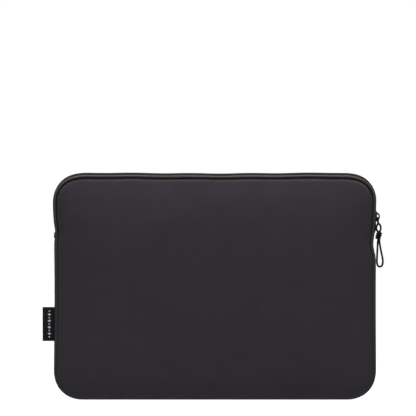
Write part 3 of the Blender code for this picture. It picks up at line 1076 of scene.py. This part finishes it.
def addSlider():
    parts = [addSliderPlate("sliderTop", slider["outerX"] - slider["plate"], slider["plate"]),
             addSliderPlate("sliderUnder", slider["innerX"], slider["plate"])]
    neckLow = (slider["innerX"] + 0.4 * mm, -0.5 * mm, slider["high"] - 3.4 * mm)
    neckHigh = (slider["outerX"] - 0.4 * mm, 0.5 * mm, slider["high"] - 0.3 * mm)
    parts.append(addBlock("sliderNeck", neckLow, neckHigh, 0.3 * mm))
    for sign in (-1, 1):
        edge = sorted((sign * (slider["wide"] - 0.55 * mm), sign * (slider["wide"] + 0.1 * mm)))
        flangeX = slider["outerX"] - slider["plate"] - slider["flange"]
        flange = addBlock("sliderFlange", (flangeX, edge[0], slider["low"] + 0.8 * mm),
                          (slider["outerX"] - 0.5 * mm, edge[1], slider["high"] - 0.8 * mm), 0.25 * mm)
        for vert in flange.data.vertices:
            up = smoothStep(slider["low"], slider["high"], vert.co.z)
            vert.co.y *= (slider["narrow"] + (slider["wide"] - slider["narrow"]) * up) / slider["wide"]
        parts.append(flange)
    whole = joinPieces(parts, "sliderCasting")
    smoothShade(whole, 35)
    return dress(whole, sliderMetal)


sliderCasting = addSlider()
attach(sliderCasting, "slider")
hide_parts("slider_body")

crown = {"wire": 0.8 * mm, "halfLength": 3.15 * mm, "reach": 2.65 * mm, "footX": 172.9 * mm, "z": 195.1 * mm}


# The bridge over the slider, a bent bar with feet set into the plate
def addCrown():
    bar = bpy.data.curves.new("sliderBridge", "CURVE")
    bar.dimensions = "3D"
    bar.bevel_depth = crown["wire"]
    bar.bevel_resolution = 4
    bar.use_fill_caps = True
    spline = bar.splines.new("POLY")
    spline.points.add(32)
    for i, point in enumerate(spline.points):
        angle = math.pi * (i / 32 - 0.5)
        reach = crown["reach"] * max(0.0, math.cos(angle)) ** 0.7
        point.co = (crown["footX"] + reach, 0, crown["z"] + crown["halfLength"] * math.sin(angle), 1)
        point.radius = 1.0 + 0.25 * abs(math.sin(angle)) ** 6
    bridge = bpy.data.objects.new("sliderBridge", bar)
    bpy.context.collection.objects.link(bridge)
    pick(bridge)
    bpy.ops.object.convert(target="MESH")
    bridge = bpy.context.object
    smoothShade(bridge, 60)
    return dress(bridge, sliderMetal)


sliderBridge = addCrown()
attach(sliderBridge, "slider")
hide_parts("slider_crown")
print("slider made")


# The cord's route in millimetres: up through the bridge and back, through the knot, down round the loop
cord = {"radius": 1.05 * mm, "spacing": 0.7 * mm}
eyeRoute = [
    (174.2, -0.3, 178.8), (172.9, -0.6, 180.6), (172.35, -1.0, 182.8), (172.7, -1.5, 185.0),
    (173.9, -2.0, 187.0), (174.2, -2.45, 190.2), (174.15, -1.7, 192.8), (174.15, 0.0, 193.6),
    (174.15, 1.7, 192.8), (174.2, 2.45, 190.2), (174.6, 2.1, 188.2), (176.0, 1.7, 186.6),
    (177.0, 1.2, 184.8), (177.2, 0.8, 182.6), (176.9, 0.5, 180.6), (176.2, 0.3, 178.8),
]
loopRoute = [
    (174.1, 0.0, 169.3), (173.8, 0.0, 165.0), (173.5, 0.0, 158.5), (173.2, 0.0, 152.0),
    (173.05, 0.0, 147.0), (173.6, 0.0, 143.5), (174.7, 0.0, 141.9), (176.1, 0.0, 141.5),
    (177.6, 0.0, 142.0), (178.9, 0.0, 143.8), (179.4, 0.0, 147.2), (178.7, 0.0, 152.5),
    (177.4, 0.0, 158.5), (176.3, 0.0, 164.5), (175.7, 0.0, 169.3),
]
# Through the knot, and the two tails that end in it
tailIn = [(175.6, 0.3, 173.0), (175.0, -0.2, 176.4)]
through = [(175.9, 0.5, 176.0), (174.9, -0.4, 172.6)]
tailOut = [(175.9, 0.3, 172.6), (175.3, -0.3, 175.2)]


def smoothRoute(route, spacing):
    points = [Vector(p) * mm for p in route]
    ends = [2 * points[0] - points[1]] + points + [2 * points[-1] - points[-2]]
    result = []
    for p0, p1, p2, p3 in zip(ends, ends[1:], ends[2:], ends[3:]):
        steps = max(1, round((p2 - p1).length / spacing))
        for i in range(steps):
            t = i / steps
            result.append(0.5 * (2 * p1 + (p2 - p0) * t + (2 * p0 - 5 * p1 + 4 * p2 - p3) * t * t
                                 + (3 * p1 - p0 - 3 * p2 + p3) * t ** 3))
    result.append(points[-1])
    return result


def addTube(name, points, radius, resolution=4):
    line = bpy.data.curves.new(name, "CURVE")
    line.dimensions = "3D"
    line.bevel_depth = radius
    line.bevel_resolution = resolution
    line.use_fill_caps = True
    spline = line.splines.new("POLY")
    spline.points.add(len(points) - 1)
    for point, co in zip(spline.points, points):
        point.co = (*co, 1)
    spline.use_smooth = True
    tube = bpy.data.objects.new(name, line)
    bpy.context.collection.objects.link(tube)
    return tube


def lineLength(points):
    return sum((b - a).length for a, b in zip(points, points[1:]))


cordLine = smoothRoute(tailIn + eyeRoute + through + loopRoute + tailOut, cord["spacing"])
pullCord = addTube("pullCord", cordLine, cord["radius"])
dress(pullCord, cordCloth)
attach(pullCord, "pull")
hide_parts("pull_eye", "pull_loop")

knot = {"centre": (175.0, 0.0, 175.1), "turns": 3.8, "radius": 2.4, "height": 8.6, "tilt": 16, "points": 90,
        "wrap": 0.95 * mm, "core": (2.3 * mm, 2.0 * mm, 3.6 * mm)}


# Wraps of the same cord pulled tight round the two strands, leaning as an overhand knot does
def addKnot():
    tilt = Matrix.Rotation(math.radians(knot["tilt"]), 3, "Y")
    wraps = []
    for i in range(knot["points"]):
        share = i / (knot["points"] - 1)
        angle = 2 * math.pi * knot["turns"] * share
        bulge = knot["radius"] * (0.82 + 0.18 * math.sin(math.pi * share))
        local = Vector((math.cos(angle) * bulge, math.sin(angle) * bulge * 0.85,
                        (share - 0.5) * knot["height"]))
        wraps.append((tilt @ local + Vector(knot["centre"])) * mm)
    wrapped = addTube("knotWraps", wraps, knot["wrap"])
    pick(wrapped)
    bpy.ops.object.convert(target="MESH")
    wrapped = bpy.context.object
    deselectAll()
    bpy.ops.mesh.primitive_uv_sphere_add(segments=20, ring_count=12, radius=1,
                                         location=Vector(knot["centre"]) * mm)
    core = bpy.context.object
    core.scale = knot["core"]
    placeInMesh(core)
    whole = joinPieces([wrapped, core], "pullKnot")
    smoothShade(whole, 60)
    return dress(whole, cordCloth)


pullKnot = addKnot()
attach(pullKnot, "pull")
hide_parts("pull_knot")
print("cord pull made, length", round(lineLength(cordLine) * 1000, 1), "mm")
